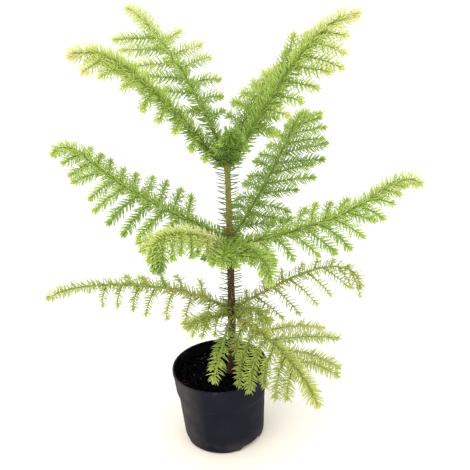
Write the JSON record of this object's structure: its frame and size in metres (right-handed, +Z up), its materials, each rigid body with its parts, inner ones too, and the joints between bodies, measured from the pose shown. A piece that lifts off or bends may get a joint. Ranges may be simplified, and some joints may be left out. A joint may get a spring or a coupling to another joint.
{
  "type": "potted norfolk island pine",
  "caption": "Young conifer with whorls of flat, drooping needle fronds on a slim leaning trunk, in a round black plastic nursery pot of peat.",
  "frame": {"origin": "centre of the pot's flat underside", "axes": "+Z straight up, +X to the right and +Y away from the viewer as the picture shows the plant"},
  "size_m": [0.4248, 0.2667, 0.4541],
  "materials": {
    "pot_plastic": "thin moulded plastic, satin, dusty at the rim",
    "potting_soil": "moist dark peat with a few pale flecks",
    "young_bark": "young bark, reddish brown at the foot and olive above",
    "bough_bark": "smooth olive young bark",
    "foliage": "soft waxy needles, brighter towards the tips"
  },
  "bodies": {
    "root": {"pot": "pot_plastic", "soil": "potting_soil", "trunk": "young_bark", "bough_top_left_low": "bough_bark", "bough_top_left_high": "bough_bark", "bough_top_right": "bough_bark", "bough_top_back_right": "bough_bark", "bough_top_front": "bough_bark", "bough_mid_front_left": "bough_bark", "bough_mid_left": "bough_bark", "bough_mid_right": "bough_bark", "bough_mid_back_right": "bough_bark", "bough_mid_front": "bough_bark", "bough_mid_near": "bough_bark", "bough_mid_back": "bough_bark", "bough_low_left": "bough_bark", "bough_low_right": "bough_bark", "bough_low_front_right": "bough_bark", "bough_low_front": "bough_bark", "bough_low_front_left": "bough_bark", "bough_low_near": "bough_bark", "bough_low_back": "bough_bark", "foliage_leader": "foliage", "foliage_top_left_low": "foliage", "foliage_top_left_high": "foliage", "foliage_top_right": "foliage", "foliage_top_back_right": "foliage", "foliage_top_front": "foliage", "foliage_mid_front_left": "foliage", "foliage_mid_left": "foliage", "foliage_mid_right": "foliage", "foliage_mid_back_right": "foliage", "foliage_mid_front": "foliage", "foliage_mid_near": "foliage", "foliage_mid_back": "foliage", "foliage_low_left": "foliage", "foliage_low_right": "foliage", "foliage_low_front_right": "foliage", "foliage_low_front": "foliage", "foliage_low_near": "foliage", "foliage_low_back": "foliage", "foliage_low_front_left": "foliage"}
  },
  "joints": []
}
